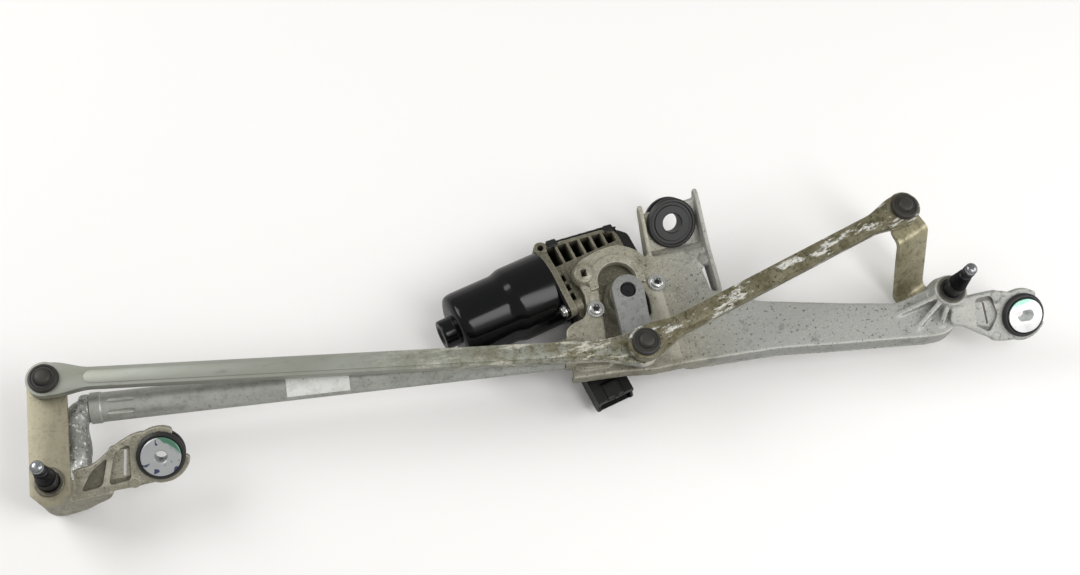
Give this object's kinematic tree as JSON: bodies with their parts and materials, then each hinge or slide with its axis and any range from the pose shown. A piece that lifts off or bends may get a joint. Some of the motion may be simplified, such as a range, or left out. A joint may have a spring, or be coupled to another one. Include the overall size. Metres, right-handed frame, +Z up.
{
  "type": "windshield wiper motor with linkage",
  "caption": "Windshield wiper drive: worm-gear motor on a cast frame, crank, two ball-jointed links, two levers and the wiper spindles on their pivots.",
  "frame": {"origin": "centre of the overall box, on the surface that the part stands on", "axes": "+X from the left wiper spindle to the right one, +Z up along both spindles, +Y from the spindles towards the top grommet"},
  "size_m": [0.7884, 0.1746, 0.1085],
  "materials": {
    "die_cast_aluminium": "as-cast, dull and speckled",
    "bright_casting": "grainy bright casting",
    "grey_steel": "satin grey zinc plate",
    "olive_steel": "khaki chromated steel, worn at the edges",
    "black_paint": "gloss black paint",
    "dark_steel": "dark oiled steel",
    "zinc_plate": "bright zinc plate",
    "rubber": "matte black rubber",
    "black_plastic": "moulded, fine texture",
    "cap_plastic": "moulded, dark brown-black",
    "gear_plastic": "natural acetal",
    "bronze": "sintered, oiled",
    "copper": "enamelled wire and turned copper",
    "ferrite": "matte ferrite",
    "carbon": "pressed carbon"
  },
  "bodies": {
    "frame": {"motor_frame": "die_cast_aluminium", "frame_tube": "grey_steel", "left_pivot_housing": "bright_casting", "left_grommet": "rubber", "right_grommet": "rubber", "top_grommet": "rubber", "left_sleeve": "zinc_plate", "right_sleeve": "zinc_plate", "left_upper_bush": "bronze", "left_lower_bush": "bronze", "right_upper_bush": "bronze", "right_lower_bush": "bronze", "gear_housing": "die_cast_aluminium", "gear_cover": "black_plastic", "cover_seal": "rubber", "connector_terminals": "zinc_plate", "output_bush": "bronze", "motor_can": "black_paint", "upper_magnet": "ferrite", "lower_magnet": "ferrite", "brush_holder": "black_plastic", "front_brush": "carbon", "rear_brush": "carbon", "rear_bearing": "bronze", "front_bearing": "bronze", "worm_end_bearing": "bronze", "can_screw_1": "zinc_plate", "can_screw_2": "zinc_plate", "mount_screw_1": "zinc_plate", "mount_screw_2": "zinc_plate", "mount_screw_3": "zinc_plate"},
    "armature": {"armature_shaft": "dark_steel", "armature_core": "grey_steel", "armature_winding": "copper", "commutator": "copper"},
    "crank": {"crank_arm": "grey_steel", "output_shaft": "dark_steel", "worm_wheel": "gear_plastic", "output_washer": "zinc_plate", "crank_ball_stud": "zinc_plate"},
    "left_link": {"left_link_bar": "grey_steel", "left_outer_socket": "cap_plastic", "left_crank_socket": "cap_plastic", "left_ball_stud": "zinc_plate"},
    "right_link": {"right_link_bar": "olive_steel", "right_crank_socket": "cap_plastic", "right_outer_socket": "cap_plastic", "right_ball_stud": "zinc_plate"},
    "left_lever": {"left_lever_plate": "olive_steel", "left_spindle": "dark_steel", "left_spindle_ring": "zinc_plate", "left_circlip": "dark_steel"},
    "right_lever": {"right_lever_plate": "olive_steel", "right_spindle": "dark_steel", "right_spindle_washer": "zinc_plate", "right_thrust_washer": "zinc_plate"}
  },
  "joints": [
    {"name": "crank_turn", "type": "hinge", "parent": "frame", "child": "crank", "pos_m": [0.0665, 0.0141, 0.0625], "axis": [0, 0, 1], "range_deg": [0, 90]},
    {"name": "armature_spin", "type": "hinge", "parent": "frame", "child": "armature", "pos_m": [-0.07949, 0.01862, 0.0305], "axis": [0.9748, 0.2233, 0], "range_deg": [0, 3780]},
    {"name": "left_link_pivot", "type": "hinge", "parent": "crank", "child": "left_link", "pos_m": [0.063, -0.03718, 0.0715], "axis": [0, 0, 1], "range_deg": [-81, 0]},
    {"name": "right_link_pivot", "type": "hinge", "parent": "crank", "child": "right_link", "pos_m": [0.063, -0.03718, 0.083], "axis": [0, 0, 1], "range_deg": [-104, 0]},
    {"name": "left_lever_swing", "type": "hinge", "parent": "frame", "child": "left_lever", "pos_m": [-0.3795, -0.0404, 0.0625], "axis": [0, 0, 1], "range_deg": [-44, 0]},
    {"name": "right_lever_swing", "type": "hinge", "parent": "frame", "child": "right_lever", "pos_m": [0.3205, -0.0404, 0.0625], "axis": [0, 0, 1], "range_deg": [-53, 0]}
  ],
  "couplings": [
    {"joint": "armature_spin", "follows": "crank_turn", "ratio": 42},
    {"joint": "left_link_pivot", "follows": "crank_turn", "ratio": -0.89389},
    {"joint": "right_link_pivot", "follows": "crank_turn", "ratio": -1.1466},
    {"joint": "left_lever_swing", "follows": "crank_turn", "ratio": -0.48177},
    {"joint": "right_lever_swing", "follows": "crank_turn", "ratio": -0.58195}
  ]
}
